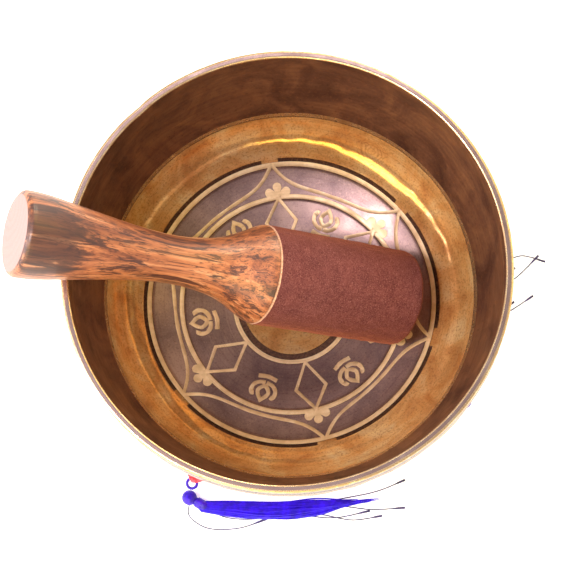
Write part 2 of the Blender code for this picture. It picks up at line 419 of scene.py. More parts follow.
def patina_material():
    """The bowl's wall: dark, oiled bronze, hammered and mottled."""
    look = Look("bronze_wall")
    blotch = look.noise(55.0, 5.0, 0.6, 0.8)
    streak = look.noise(1.0, 4.0, 0.6, vector=look.around(60.0, 700.0, 18.0))
    grain = look.noise(900.0, 3.0, 0.7)
    tone = look.ramp(blotch, (0.32, 84, 54, 44), (0.5, 130, 90, 70), (0.7, 172, 122, 88))
    tone = look.over(tone, streak, 0.35, 0.7, 0.5, 96, 58, 48)
    tone = look.over(tone, grain, 0.55, 0.75, 0.55, 172, 112, 74)
    tone = look.over(tone, grain, 0.42, 0.28, 0.6, 52, 30, 26)
    soft = look.bump(look.noise(150.0, 3.0), 0.25, 0.5)
    return look.done(tone, look.between(blotch, 0.3, 0.7, 0.5, 0.36), 0.75,
                     look.bump(grain, 0.06, 0.55, soft))


def finger_mark(look, tone):
    """A faint fingerprint on the band: wavering rings that fade out."""
    reach = look.away_from((43.0, 44.0, -50.0), 9.0)
    ridges = look.wave(look.plus(reach, look.times(look.noise(160.0), 0.5)), 48.0)
    ridges = look.times(look.plus(ridges, 1.0), look.between(reach, 1.0, 0.5))
    return look.over(tone, ridges, 0.8, 2.0, 0.3, 140, 84, 50)


def band_material():
    """The cove between floor and wall: scraped golden brass with fine turning marks."""
    look = Look("brass_band")
    turning = look.noise(1.0, 3.0, 0.6, vector=look.around(2600.0, 900.0, 30.0))
    broad = look.noise(1.0, 4.0, 0.6, vector=look.around(420.0, 200.0, 22.0))
    blotch = look.noise(70.0, 5.0, 0.6, 0.6)
    grain = look.noise(1300.0, 2.0, 0.7)
    tone = look.ramp(blotch, (0.32, 208, 142, 82), (0.5, 244, 188, 120), (0.68, 254, 218, 158))
    tone = look.over(tone, broad, 0.4, 0.7, 0.35, 228, 156, 84)
    tone = look.over(tone, turning, 0.5, 0.7, 0.3, 170, 116, 72)
    tone = look.over(tone, grain, 0.5, 0.68, 0.5, 134, 92, 62)
    tone = finger_mark(look, tone)
    swell = look.bump(look.noise(120.0, 2.0, 0.5), 0.06, 0.5)
    return look.done(tone, look.between(grain, 0.35, 0.65, 0.12, 0.24), 0.6,
                     look.bump(turning, 0.015, 0.3, swell))


def etched_material():
    """The acid-etched ground of the floor, dull and pinkish brown."""
    look = Look("bronze_etched")
    blotch = look.noise(60.0, 5.0, 0.6, 0.5)
    grain = look.noise(1500.0, 3.0, 0.75)
    turning = look.noise(1.0, 3.0, 0.6, vector=look.around(1500.0, 100.0, 25.0))
    tone = look.ramp(blotch, (0.3, 118, 94, 92), (0.5, 146, 118, 112), (0.7, 176, 144, 132))
    tone = look.over(tone, turning, 0.5, 0.72, 0.35, 112, 80, 78)
    tone = look.over(tone, grain, 0.45, 0.3, 0.55, 88, 58, 54)
    tone = look.over(tone, grain, 0.58, 0.75, 0.5, 206, 164, 136)
    return look.done(tone, look.between(blotch, 0.3, 0.7, 0.42, 0.33), 0.8,
                     look.bump(grain, 0.08, 0.6))


def line_material():
    """The lines left standing by the etching: pale scraped brass."""
    look = Look("brass_line")
    blotch = look.noise(180.0, 4.0, 0.6)
    scratch = look.noise(1.0, 3.0, 0.65, vector=look.around(2200.0, 300.0, 60.0))
    tone = look.ramp(blotch, (0.3, 204, 168, 124), (0.55, 230, 196, 152), (0.75, 246, 220, 180))
    tone = look.over(tone, scratch, 0.55, 0.75, 0.45, 170, 128, 90)
    return look.done(tone, look.between(blotch, 0.3, 0.7, 0.56, 0.42), 0.5,
                     look.bump(scratch, 0.03, 0.5))


def groove_and_edge_shade_material():
    """Dark bronze for the cut channels, and painted shade on the steep edges of the lines."""
    look = Look("bronze_groove_and_edge_shade")
    grain = look.noise(1100.0, 3.0, 0.7)
    tone = look.ramp(grain, (0.3, 58, 36, 28), (0.6, 96, 64, 46), (0.8, 130, 88, 58))
    return look.done(tone, look.between(grain, 0.3, 0.7, 0.6, 0.45), 0.6,
                     look.bump(grain, 0.08, 0.6))


def rim_material():
    """The filed top of the rim, with marks that run round it."""
    look = Look("bronze_rim")
    turning = look.noise(1.0, 4.0, 0.65, vector=look.around(1800.0, 400.0, 40.0))
    blotch = look.noise(70.0, 4.0, 0.6)
    across = look.noise(500.0, 3.0, 0.6)
    tone = look.ramp(blotch, (0.3, 150, 122, 118), (0.55, 176, 148, 144), (0.75, 206, 178, 170))
    tone = look.over(tone, turning, 0.5, 0.7, 0.5, 128, 98, 92)
    tone = look.over(tone, across, 0.6, 0.75, 0.4, 150, 112, 92)
    return look.done(tone, look.between(blotch, 0.3, 0.7, 0.26, 0.18), 0.85,
                     look.bump(turning, 0.02, 0.4))


def rim_edge_wear_and_highlight_material():
    """The worn corners of the rim and the step above the band: rubbed bright, partly a painted
    highlight.
    """
    look = Look("brass_worn_and_highlight")
    wear = look.noise(260.0, 4.0, 0.65)
    tone = look.ramp(wear, (0.3, 196, 156, 112), (0.55, 224, 190, 146), (0.75, 244, 220, 182))
    return look.done(tone, look.between(wear, 0.3, 0.7, 0.34, 0.2), 0.9,
                     look.bump(wear, 0.05, 0.4))


def outside_material():
    """The hammered outside: golden brown, with a dark turned collar under the rim."""
    look = Look("bronze_outside")
    blotch = look.noise(48.0, 5.0, 0.62, 0.8)
    streak = look.noise(1.0, 4.0, 0.6, vector=look.around(90.0, 1100.0, 25.0))
    grain = look.noise(1000.0, 3.0, 0.7)
    tone = look.ramp(blotch, (0.28, 138, 86, 50), (0.5, 164, 108, 62), (0.72, 190, 134, 78))
    tone = look.over(tone, streak, 0.5, 0.72, 0.4, 120, 72, 46)
    tone = look.over(tone, grain, 0.45, 0.3, 0.5, 74, 44, 32)
    tone = look.over(tone, grain, 0.6, 0.78, 0.5, 226, 176, 110)
    tone = look.over(tone, look.z, -9 * MM, -6 * MM, 0.9, 84, 64, 60)
    return look.done(tone, look.between(grain, 0.35, 0.65, 0.2, 0.34), 0.9,
                     look.bump(grain, 0.04, 0.4))


# ---------------------------------------------------------------- bowl

COLUMNS = 384
INNER_CURVE = smooth_path(INNER_WALL, 24)
OUTER_CURVE = smooth_path(OUTER_WALL, 24)
CUSP_ANGLES = (24.3, 82.5, 144.0, 205.7, 267.8, 328.6)
CHANNEL_STOP = 3.2                # degrees each side of a cusp that the outer channel leaves out
EDGE_RUN = 0.06                   # half the run of a step between two zones
BAND_START_R = 54.3               # where the band meets the outer channel
STEP_R = 66.1                     # where the band meets the wall
GROUND, LINE, GROOVE_AND_EDGE_SHADE, BAND, WALL, RIM, WORN_AND_HIGHLIGHT, OUTSIDE = range(8)
# outer radius, material number, height above the turned surface
# the last zone, the step above the band, is pale: wear and a painted highlight line
FLOOR_ZONES = ((18.4, BAND, 0.0), (20.6, GROOVE_AND_EDGE_SHADE, -0.35), (22.3, LINE, 0.2), (40.0, GROUND, 0.0),
               (41.8, LINE, 0.2), (51.4, GROUND, 0.0), (53.1, LINE, 0.2), (54.3, GROOVE_AND_EDGE_SHADE, -0.35),
               (65.85, BAND, 0.0), (66.2, WORN_AND_HIGHLIGHT, 0.05))
FLOOR_SPACING = 1.0
BAND_SPACING = 0.5
WALL_SPACING = 0.8
OUTSIDE_SPACING = 1.1
STRAIGHT_DEPTH = 12.0             # the rim's straight sides reach down to here
STRAIGHT_INNER_R = 72.7           # the radii there, inside and outside
STRAIGHT_OUTER_R = 75.5
TURNED_LINES = (4.2, 6.8)         # depth of the two lines round the outside
LEAST_R = 0.4                     # the smallest ring about the axis
LINE_HALF = 0.6                   # half their width
LINE_DEPTH = 0.3
CORNER_R = RIM_ROUND + 0.15       # the rim's corners, worn a little rounder than the CAD's
SHELF_R = 59.9                    # middle of the scraped shelf
SHELF_WIDTH = 1.2
SHELF_RELIEF = 0.38               # its height, as a share of its width
KNOCK_ANGLE = 117
KNOCK_DEPTH = 0.3
MID_RING_R = 40.9


def floor_height(radius):
    """Height of the bowl's inside, measured from the rim, out to the wall."""
    return -np.interp(radius, INNER_CURVE[:, 0], INNER_CURVE[:, 1])


def cusp_gap(angles):
    """Degrees from the nearest cusp."""
    return np.min([np.abs(bearing_gap(angles, cusp)) for cusp in CUSP_ANGLES], axis=0)


def floor_rings():
    """Radius, lift and zone of each ring of the floor and the band, from the centre out."""
    rings = []
    inner = 0.0
    for outer, zone, lift in FLOOR_ZONES:
        spacing = BAND_SPACING if inner == BAND_START_R else FLOOR_SPACING
        steps = max(1, round((outer - inner) / spacing))
        start = max(inner + EDGE_RUN, LEAST_R)
        for radius in np.linspace(start, outer - EDGE_RUN, steps + 1):
            rings.append((radius, lift, zone))
        inner = outer
    return rings


def curve_rows(curve, spacing, first=0.0):
    """Radii and depths spaced evenly along a curve, from one of its lengths to its end."""
    last = lengths(curve)[-1]
    at = np.linspace(first, last, max(2, round((last - first) / spacing)))
    return at_lengths(curve, at).T


def hammer_marks(angles, heights, radius, count, size, depth, seed):
    """Depth of overlapping round hammer marks at each height and angle, in millimetres."""
    chance = np.random.default_rng(seed)
    low, high = heights.min(), heights.max()
    marks = np.zeros((len(heights), len(angles)))
    around = np.radians(angles) * radius
    whole = 2 * math.pi * radius
    for _ in range(count):
        across = chance.uniform(0, whole)
        height = chance.uniform(low, high)
        reach = size * chance.uniform(0.75, 1.3)
        rows = np.abs(heights - height) < reach
        apart = np.abs((around - across + whole / 2) % whole - whole / 2)
        columns = apart < reach
        square = (heights[rows, None] - height) ** 2 + apart[None, columns] ** 2
        hollow = depth * chance.uniform(0.6, 1.2) * np.clip(1 - square / reach ** 2, 0, 1) ** 1.5
        struck = np.ix_(rows, columns)
        marks[struck] = np.maximum(marks[struck], hollow)
    return marks


def scraped_shelf(angles, radius):
    """Height of the uneven shelf, less steep than the cove, that the scraper left round it."""
    share = angles / 360.0
    ragged = wander(share, 83, 40) + 0.6 * wander(share, 84, 9) + 0.7 * wander(share, 85, 80)
    broad = bell(bearing_gap(angles, 38), 20.0)
    low = bell(bearing_gap(angles, 192), 28.0)
    centre = SHELF_R - 1.3 * broad - 2.6 * low + 0.3 * ragged
    width = SHELF_WIDTH + 1.1 * broad + 0.4 * low
    across = (radius - centre) / width
    relief = width * (SHELF_RELIEF + 0.05 * ragged + 0.03 * broad)
    return -relief * across * np.exp(-0.5 * across ** 2) * ease((radius - BAND_START_R) / 0.8)


def floor_rows(angles):
    """Radii, heights and zones of the floor's and the band's rings."""
    share = angles / 360.0
    channel = ease((cusp_gap(angles) - CHANNEL_STOP) / 0.6)
    rows = []
    for radius, lift, zone in floor_rings():
        to_step = STEP_R - radius
        drift = 0.12 * wander(share + 0.013 * radius, 11, 6) * ease((radius - 2) / 10)
        ripple = 0.08 * wander(share, 23, 28) * ease((radius - 52) / 4) * ease(to_step / 5)
        swell = wander(share, 31 + int(radius), 9) * ease((radius - 55) / 3) * ease(to_step / 4)
        if zone == GROOVE_AND_EDGE_SHADE and radius > MID_RING_R:
            lift = lift * channel
            zone = np.where(channel > 0.5, GROOVE_AND_EDGE_SHADE, BAND)
        height = floor_height(radius + drift) + lift + ripple + 0.012 * swell
        rows.append((radius + drift, height + scraped_shelf(angles, radius), zone))
    return rows


def wall_rows(angles):
    """The hammered inside of the wall, from the step above the band up to the rim."""
    start = np.interp(STEP_R + 0.45, INNER_CURVE[:, 0], lengths(INNER_CURVE))
    radii, depths = curve_rows(INNER_CURVE, WALL_SPACING, start)
    above = np.linspace(STRAIGHT_DEPTH, RIM_ROUND + 0.4, 12)[1:]
    straight = np.interp(above, (RIM_ROUND, STRAIGHT_DEPTH), (RIM_INNER_R, STRAIGHT_INNER_R))
    radii = np.concatenate([radii, straight])
    depths = np.concatenate([depths, above])
    marks = hammer_marks(angles, depths, radius=70.0, count=420, size=5.5, depth=0.12, seed=5)
    rows = []
    for radius, depth, mark in zip(radii, depths, marks):
        fade = ease((radius - STEP_R) / 14) * ease((depth - 1.5) / 4)
        rows.append((radius + mark * fade, -depth, WALL))
    return rows


def rim_rows(angles):
    """The rim: two rounded, worn corners and a filed flat between them."""
    turns = np.radians((0, 30, 60, 90))
    inset = CORNER_R * (1 - np.cos(turns))
    drop = CORNER_R * (1 - np.sin(turns))
    # the corners take the worn material, lighter also as a painted highlight along the rim's edges
    rows = [(RIM_INNER_R + run, -fall, WORN_AND_HIGHLIGHT) for run, fall in zip(inset, drop)]
    for radius in np.linspace(RIM_INNER_R + CORNER_R + 0.25, RIM_OUTER_R - CORNER_R - 0.35, 4):
        rows.append((radius, 0.0, RIM))
    rows += [(RIM_OUTER_R - run, -fall, WORN_AND_HIGHLIGHT) for run, fall in zip(inset[::-1], drop[::-1])]
    uneven = 0.07 * wander(angles / 360.0, 41, 14)
    return [(radius + 0.5 * uneven, height + uneven, zone) for radius, height, zone in rows]


def outer_rows(angles):
    """The outside, hammered all over, with two turned lines under the rim."""
    above = np.linspace(RIM_ROUND + 1.2, STRAIGHT_DEPTH - 1.0, 9)
    straight = np.interp(above, (RIM_ROUND, STRAIGHT_DEPTH), (RIM_OUTER_R, STRAIGHT_OUTER_R))
    radii, depths = np.concatenate([(straight, above), curve_rows(OUTER_CURVE, OUTSIDE_SPACING)],
                                   axis=1)
    length = lengths(np.column_stack([radii, depths]))
    marks = hammer_marks(angles, length, radius=66.0, count=1500, size=5.0, depth=0.5, seed=7)
    rows = []
    for radius, depth, at, mark in zip(radii, depths, length, marks):
        fade = ease((at - 7) / 5) * ease((length[-1] - 30 - at) / 20)
        lines = LINE_DEPTH * sum(bell(depth - line, LINE_HALF) for line in TURNED_LINES)
        rows.append((np.maximum(radius - mark * fade - lines, LEAST_R), -depth, OUTSIDE))
    return rows


def knock_rim(radii, heights, angles):
    """The small dent that the rim took from a knock."""
    dent = bell(bearing_gap(angles, KNOCK_ANGLE), 3.2) * bell(heights, 5.0)
    return radii - KNOCK_DEPTH * dent * (radii > BAND_START_R)


def make_bowl(looks, matrix):
    angles = np.arange(COLUMNS) * 360.0 / COLUMNS
    rows = [row for build in (floor_rows, wall_rows, rim_rows, outer_rows)
            for row in build(angles)]
    radii, heights, zones = (np.array([np.broadcast_to(value, COLUMNS) for value in values])
                             for values in zip(*rows))
    numbers = zones[1:].copy()
    floor_count = len(floor_rings())
    stepped = zones[:-1] != zones[1:]
    stepped[floor_count:] = False
    # the steps between zones take the groove material: painted shade along the rings' edges
    numbers[stepped] = GROOVE_AND_EDGE_SHADE
    # the faces up to the step take the worn material: wear and a painted highlight line
    numbers[floor_count - 2:floor_count] = WORN_AND_HIGHLIGHT
    shape = Shape()
    grid = turned_grid(knock_rim(radii, heights, angles), heights, COLUMNS)
    add_turned(shape, grid, numbers.reshape(-1))
    add_piece("bowl_shell", shape, looks, "bowl", ("bowl",), matrix)


# ---------------------------------------------------------------- pattern on the floor

RELIEF_LIFT = 0.26
RELIEF_SINK = 0.4
RELIEF_BEVEL = 0.09
STAR_WIDTH = 1.3
DIAMOND_WIDTH = 1.2
BUD_WIDTH = 1.5
SCROLL_WIDTH = 1.6
CUSP_R = 52.7
STAR_INNER_R = 43.0
ORNAMENT_R = 33.0
TREFOIL_ANGLES = (25.8, 81.3, 143.0, 203.7, 266.9, 328.0)
ORNAMENT_ANGLES = (52.5, 109.4, 175.5, 236.3, 293.8, 355.0)
# the sides of the raised lines take the groove material: painted shade along their edges
LINE_TOP, LINE_SIDE_SHADE = 0, 1


def on_floor(points, lift):
    """Plan points on the bowl's floor, raised by lift."""
    points = np.asarray(points, dtype=float)
    height = floor_height(np.hypot(points[..., 0], points[..., 1])) + lift
    return np.concatenate([points, height[..., None]], axis=-1)


def polar(angle, radius):
    turn = np.radians(angle)
    return np.stack([radius * np.cos(turn), radius * np.sin(turn)], axis=-1)


def square_to(vectors):
    """Plan vectors turned left by a right angle."""
    return np.stack([-vectors[..., 1], vectors[..., 0]], axis=-1)


def ribbon(shape, path, width, closed=False, seed=0):
    """A raised line with bevelled edges along a plan path, mitred at its corners."""
    path = np.asarray(path, dtype=float)
    run = np.roll(path, -1, axis=0) - path
    if not closed:
        run[-1] = run[-2]
    run = unit(run)
    before = np.roll(run, 1, axis=0)
    if not closed:
        before[0] = run[0]
    across = unit(square_to(run + before))
    mitre = 1 / np.maximum((across * square_to(run)).sum(axis=1), 0.35)
    share = np.arange(len(path)) / len(path)
    half = 0.5 * width * mitre * (1 + 0.12 * wander(share, 100 + seed, 7, closed))
    bevel = np.minimum(RELIEF_BEVEL * mitre, half * 0.6)
    section = ((-half, -RELIEF_SINK), (-half, 0.5 * RELIEF_LIFT), (-half + bevel, RELIEF_LIFT),
               (half - bevel, RELIEF_LIFT), (half, 0.5 * RELIEF_LIFT), (half, -RELIEF_SINK))
    rings = [on_floor(path + reach[:, None] * across, lift) for reach, lift in section]
    tops = (LINE_SIDE_SHADE, LINE_TOP, LINE_TOP, LINE_TOP, LINE_SIDE_SHADE, LINE_SIDE_SHADE)
    add_loops(shape, np.stack(rings, axis=1), closed, tops, LINE_SIDE_SHADE)


def pad(shape, outline, middle):
    """A raised flat shape with a bevelled edge; every point of its outline is seen from middle."""
    reach = np.linalg.norm(outline - middle, axis=1, keepdims=True)
    inner = middle + (outline - middle) * (1 - RELIEF_BEVEL / reach)
    rings = [on_floor(outline, -RELIEF_SINK), on_floor(outline, 0.5 * RELIEF_LIFT),
             on_floor(inner, RELIEF_LIFT), on_floor((inner + middle) / 2, RELIEF_LIFT)]
    add_turned(shape, np.stack(rings), np.repeat((LINE_SIDE_SHADE, LINE_TOP, LINE_TOP), len(outline)))


def clover(lobes, size, body):
    """Outline of round lobes about the origin, each at a distance and angle and of one size."""
    turn = circle(60)
    reach = np.full(len(turn), body)
    for distance, angle in lobes:
        apart = turn - math.radians(angle)
        inside = size ** 2 - (distance * np.sin(apart)) ** 2
        far = distance * np.cos(apart) + np.sqrt(np.maximum(inside, 0))
        reach = np.where((inside > 0) & (far > reach), far, reach)
    return swung(turn, np.array((1.0, 0.0)), np.array((0.0, 1.0))) * reach[:, None]


def placed(points, angle, radius):
    """Local points, given outward and across, at an angle and radius on the floor."""
    out = polar(angle, 1.0)
    return radius * out + points[:, :1] * out + points[:, 1:] * square_to(out)


def add_star(shape):
    """Six curved sides between the cusps, each dipping towards the middle ring."""
    ends = (*CUSP_ANGLES[1:], CUSP_ANGLES[0] + 360)
    for seed, (start, end) in enumerate(zip(CUSP_ANGLES, ends)):
        angles = np.linspace(start, end, 61)
        gap = np.minimum(angles - start, end - angles)
        radii = STAR_INNER_R + (CUSP_R - STAR_INNER_R) * np.exp(-gap / 6.5)
        ribbon(shape, polar(angles, radii), STAR_WIDTH, seed=seed)


def add_diamonds(shape):
    for seed, angle in enumerate(TREFOIL_ANGLES):
        corners = np.array([polar(angle, 22.0), polar(angle + 10, 32.5), polar(angle, 40.5),
                            polar(angle - 10, 32.5)])
        path = [start + (end - start) * t for start, end in zip(corners, np.roll(corners, -1, 0))
                for t in np.arange(8) / 8]
        ribbon(shape, path, DIAMOND_WIDTH, closed=True, seed=20 + seed)


def add_trefoils(shape):
    """A three-lobed leaf on the middle ring at each diamond."""
    leaf = clover(((2.6, 0), (3.2, 76), (3.2, -76)), 1.7, 1.5)
    for angle in TREFOIL_ANGLES:
        pad(shape, placed(leaf, angle, MID_RING_R + 1.0), polar(angle, MID_RING_R + 1.0))


def add_ornaments(shape):
    """A lotus bud between two scrolls, over a short bar, in each space between the diamonds."""
    bud = ((4.9, 0.0), (2.9, 1.6), (1.1, 1.9), (-0.7, 0.0), (1.1, -1.9), (2.9, -1.6))
    bud = smooth_path((*bud, bud[0]), 6)[:-1]
    scroll = smooth_path(((-2.0, 0.2), (-1.7, 2.3), (-0.2, 4.1), (1.8, 4.5), (3.1, 3.9),
                          (2.9, 3.1)), 6)
    bar = smooth_path(((-3.9, -3.6), (-4.5, 0.0), (-3.9, 3.6)), 8)
    for seed, angle in enumerate(ORNAMENT_ANGLES):
        ribbon(shape, placed(bud, angle, ORNAMENT_R), BUD_WIDTH, closed=True, seed=40 + seed)
        for side in (1, -1):
            scrolled = placed(scroll * (1, side), angle, ORNAMENT_R)
            ribbon(shape, scrolled, SCROLL_WIDTH, seed=50 + seed)
        ribbon(shape, placed(bar, angle, ORNAMENT_R), SCROLL_WIDTH, seed=60 + seed)


def make_relief(looks, matrix):
    for name, build in (("floor_star", add_star), ("floor_diamonds", add_diamonds),
                        ("floor_leaves", add_trefoils), ("floor_ornaments", add_ornaments)):
        shape = Shape()
        build(shape)
        add_piece(name, shape, looks, "bowl", matrix=matrix)


# ---------------------------------------------------------------- mallet

def wood_material():
    """Oiled rosewood, its grain along the handle, with dark heartwood near the butt."""
    look = Look("rosewood")
    figure = look.noise(1.0, 6.0, 0.62, 1.2, look.scaled(210.0, 210.0, 11.0))
    bands = look.noise(1.0, 5.0, 0.65, 1.0, look.scaled(560.0, 560.0, 14.0))
    pores = look.noise(1.0, 2.0, 0.6, 0.0, look.scaled(2400.0, 2400.0, 70.0))
    tone = look.ramp(figure, (0.3, 74, 38, 26), (0.43, 142, 78, 46), (0.56, 182, 110, 68),
                     (0.7, 212, 150, 108))
    tone = look.over(tone, bands, 0.51, 0.59, 0.9, 66, 34, 30)
    tone = look.over(tone, pores, 0.57, 0.66, 0.75, 52, 24, 18)
    ragged = look.times(look.math("SUBTRACT", figure, 0.5), 2.2)
    heart = look.plus(look.away_from((-4.0, 13.0, 8.0), 13.5), ragged)
    tone = look.over(tone, heart, 1.05, 0.75, 0.8, 62, 34, 30)
    return look.done(tone, look.between(figure, 0.3, 0.7, 0.55, 0.42), 0.0,
                     look.bump(pores, 0.05, 0.5), coat_weight=0.35, coat_roughness=0.32)


def end_grain_material():
    """The sawn ends of the turned wood: faint rings about the pith, and pores."""
    look = Look("rosewood_end")
    ragged = look.times(look.noise(160.0, 3.0), 3.0)
    reach = look.plus(look.away_from((9.0, -5.0, 0.0), 1.0), ragged)
    rings = look.between(look.wave(reach, 2.1), -1.0, 1.0)
    pores = look.noise(2400.0, 2.0, 0.6)
    tone = look.ramp(rings, (0.0, 160, 125, 121), (0.7, 164, 129, 125))
    tone = look.over(tone, pores, 0.58, 0.68, 0.6, 136, 98, 92)
    return look.done(tone, 0.5, 0.0, look.bump(pores, 0.08, 0.6))


def suede_material():
    """Red-brown suede with a short nap that catches the light at its edges."""
    look = Look("suede")
    nap = look.noise(2200.0, 4.0, 0.75)
    rubbed = look.noise(260.0, 5.0, 0.65, 0.3)
    broad = look.noise(60.0, 3.0, 0.5)
    tone = look.ramp(rubbed, (0.3, 98, 50, 50), (0.5, 110, 59, 58), (0.7, 124, 69, 66))
    tone = look.over(tone, broad, 0.35, 0.65, 0.3, 110, 52, 50)
    tone = look.over(tone, nap, 0.54, 0.7, 0.65, 180, 118, 108)
    tone = look.over(tone, nap, 0.48, 0.34, 0.85, 70, 28, 26)
    return look.done(tone, 0.9, 0.0, look.bump(nap, 0.16, 0.75), specular_ior_level=0.25,
                     sheen_weight=0.45, sheen_roughness=0.4, sheen_tint=(240, 140, 90))


def cut_edge_material():
    """The cut edge of the leather, paler than its face."""
    look = Look("suede_cut")
    fibre = look.noise(1800.0, 3.0, 0.7)
    tone = look.ramp(fibre, (0.3, 170, 112, 84), (0.7, 226, 178, 146))
    return look.done(tone, 0.92, 0.0, look.bump(fibre, 0.1, 0.6), sheen_weight=0.3)


def thread_material(name, dark, light):
    """Twisted thread, with sheen and a slight change of shade from strand to strand."""
    look = Look(name)
    fibre = look.noise(3000.0, 2.0, 0.6)
    tone = look.mix(look.between(look.noise(340.0, 3.0, 0.6), 0.35, 0.65), dark, light)
    return look.done(tone, look.between(fibre, 0.3, 0.7, 0.5, 0.35), 0.0,
                     look.bump(fibre, 0.05, 0.5), sheen_weight=0.2, sheen_roughness=0.3,
                     sheen_tint=light)


WOOD, END_GRAIN = 0, 1
SUEDE, CUT = 0, 1
MALLET_COLUMNS = 144
SLEEVE_COLUMNS = 300
SEAM_ANGLE = 270.0                # the sleeve's seam is on the side turned down
STITCH_STEP = 4.0
STITCH_R = 0.28
SLEEVE_START = SHOULDER_AT + 0.3


def mallet_matrix():
    """Local Z runs from the butt to the head; the head points down into the bowl."""
    ahead = Vector((math.cos(MALLET_HEADING), math.sin(MALLET_HEADING), 0.0))
    side = Vector((-ahead.y, ahead.x, 0.0))
    along = math.cos(MALLET_TILT) * ahead - Vector((0.0, 0.0, math.sin(MALLET_TILT)))
    butt = Vector((*BOWL_AXIS, 0.0)) - MALLET_BUTT_OUT * ahead + MALLET_SIDE * side
    butt.z = RIM_Z + MALLET_BUTT_RISE
    axes = Matrix((side, along.cross(side), along)).transposed().to_4x4()
    return Matrix.Translation(butt * MM) @ axes


def make_handle(looks, matrix):
    """Turned handle with the core that runs on under the sleeve."""
    butt = [(radius, 0.0) for radius in (0.6, 4.0, 8.0, 11.8)]
    core_r = SLEEVE_END_R - SLEEVE_THICK - 0.3
    core_top = MALLET_LENGTH - SLEEVE_ROUND / 2
    core = [(16.6, SHOULDER_AT + 0.1), (core_r + 0.05, SHOULDER_AT + 0.15), (core_r, 100.0),
            (core_r, 120.0), (core_r, core_top - 1.2), (core_r - 0.4, core_top - 0.4),
            (core_r - 1.2, core_top), (9.0, core_top), (4.0, core_top), (0.6, core_top)]
    rows = np.array([*butt, *smooth_path(HANDLE_OUTLINE, 9), *core])
    radii, heights = rows[:, :1], rows[:, 1:]
    visible = ease((radii - 4) / 4) * (heights < SHOULDER_AT)
    uneven = 0.07 * wander(np.arange(MALLET_COLUMNS) / MALLET_COLUMNS, 61, 5) * visible
    tool_marks = 0.02 * np.sin(heights * 5.3) * visible
    numbers = np.full(len(rows) - 1, WOOD)
    numbers[:len(butt)] = END_GRAIN
    numbers[-4:] = END_GRAIN
    shape = Shape()
    add_turned(shape, turned_grid(radii + uneven + tool_marks, heights, MALLET_COLUMNS),
               np.repeat(numbers, MALLET_COLUMNS))
    add_piece("mallet_turned_handle", shape, looks, "mallet", ("mallet_handle",), matrix)


def nap(rows, columns, depth, seed):
    """Fine unevenness of suede, smoothed over a few points each way."""
    field = np.random.default_rng(seed).normal(size=(rows, columns))
    for axis in (1, 0, 1, 0):
        field = (field + np.roll(field, 1, axis) + np.roll(field, -1, axis)) / 3
    return depth * field / field.std()


def sleeve_outline():
    """Radius, height and material number round the sleeve's wall, from bore to bore."""
    bottom, top = SLEEVE_START, MALLET_LENGTH
    bore = SLEEVE_END_R - SLEEVE_THICK
    rows = [(bore, bottom + 0.4, CUT), (bore + 0.7, bottom, CUT), (SLEEVE_R - 0.55, bottom, CUT),
            (SLEEVE_R - 0.15, bottom + 0.18, CUT), (SLEEVE_R, bottom + 0.6, SUEDE)]
    for at in np.linspace(bottom + 1.1, top - SLEEVE_ROUND, 96):
        narrowed = ease((at - bottom) / (top - bottom) * 2 - 1)
        rows.append((SLEEVE_R + (SLEEVE_END_R - SLEEVE_R) * narrowed, at, SUEDE))
    for turn in np.radians((25, 45, 65, 82)):
        rows.append((SLEEVE_END_R - SLEEVE_ROUND * (1 - math.cos(turn)),
                     top - SLEEVE_ROUND * (1 - math.sin(turn)), SUEDE))
    rows += [(bore + 0.35, top, CUT), (bore, top - 0.35, CUT)]
    rows += [(bore, at, CUT) for at in np.linspace(top - 2.5, bottom + 2.0, 12)]
    return rows


def make_sleeve(looks, matrix):
    """The suede sleeve: one strip wrapped round the core and stitched along its seam."""
    radii, heights, numbers = (np.array(values)[:, None] for values in zip(*sleeve_outline()))
    share = np.arange(SLEEVE_COLUMNS) / SLEEVE_COLUMNS
    outside = (radii > SLEEVE_END_R - SLEEVE_ROUND) * ease((heights - SHOULDER_AT) / 1.5)
    soft = 0.14 * wander(share + heights / 300, 71, 6)
    soft = soft + nap(len(radii), SLEEVE_COLUMNS, 0.045, 72)
    seam = bell(bearing_gap(share * 360, SEAM_ANGLE), 1.6)
    ends = 0.18 * wander(share, 73, 11)
    grid = turned_grid(radii + outside * (soft - 0.5 * seam),
                       heights + ends * (outside > 0.5) * ease((heights - 137) / 8),
                       SLEEVE_COLUMNS)
    shape = Shape()
    add_turned(shape, grid, np.repeat(numbers, SLEEVE_COLUMNS), wrap_rows=True)
    return add_piece("suede_cover", shape, looks, "mallet", ("suede_sleeve",), matrix)


def make_seam_stitches(look, matrix):
    """Slanted stitches that draw the two edges of the sleeve together."""
    shape = Shape()
    for at in np.arange(SHOULDER_AT + 4.0, MALLET_LENGTH - 4.0, STITCH_STEP):
        t = np.linspace(-1, 1, 9)
        plan = polar(SEAM_ANGLE + 8.0 * t, SLEEVE_R + 0.22 - 0.75 * np.abs(t) ** 6)
        tube(shape, np.column_stack([plan, at + 0.9 * t]), STITCH_R, sides=8)
    return add_piece("suede_stitches", shape, [look], "mallet", matrix=matrix)


# ---------------------------------------------------------------- cushion

COVER_CELLS = 120
BROCADE_PITCH = 0.0125            # metres between the lattice's lines
PIPING_POINTS = 1200
PIPING_TURNS = 110
PIPING_TWIST_R = 0.62             # from the cord's middle to the middle of a strand
PIPING_STRAND_R = 0.72


def cushion_point(u, v, inset):
    """Plan position on the cushion, u and v from -1 to 1 across it."""
    half = CUSHION_HALF - inset
    corner = 1 - CORNER_ROUND * (u * v) ** 6
    x = half * u * (1 - SIDE_PULL * (1 - v * v)) * corner
    y = half * v * (1 - SIDE_PULL * (1 - u * u)) * corner
    return x, y


def crown(u, v):
    return np.maximum((1 - u * u) * (1 - v * v), 0) ** CROWN_POWER


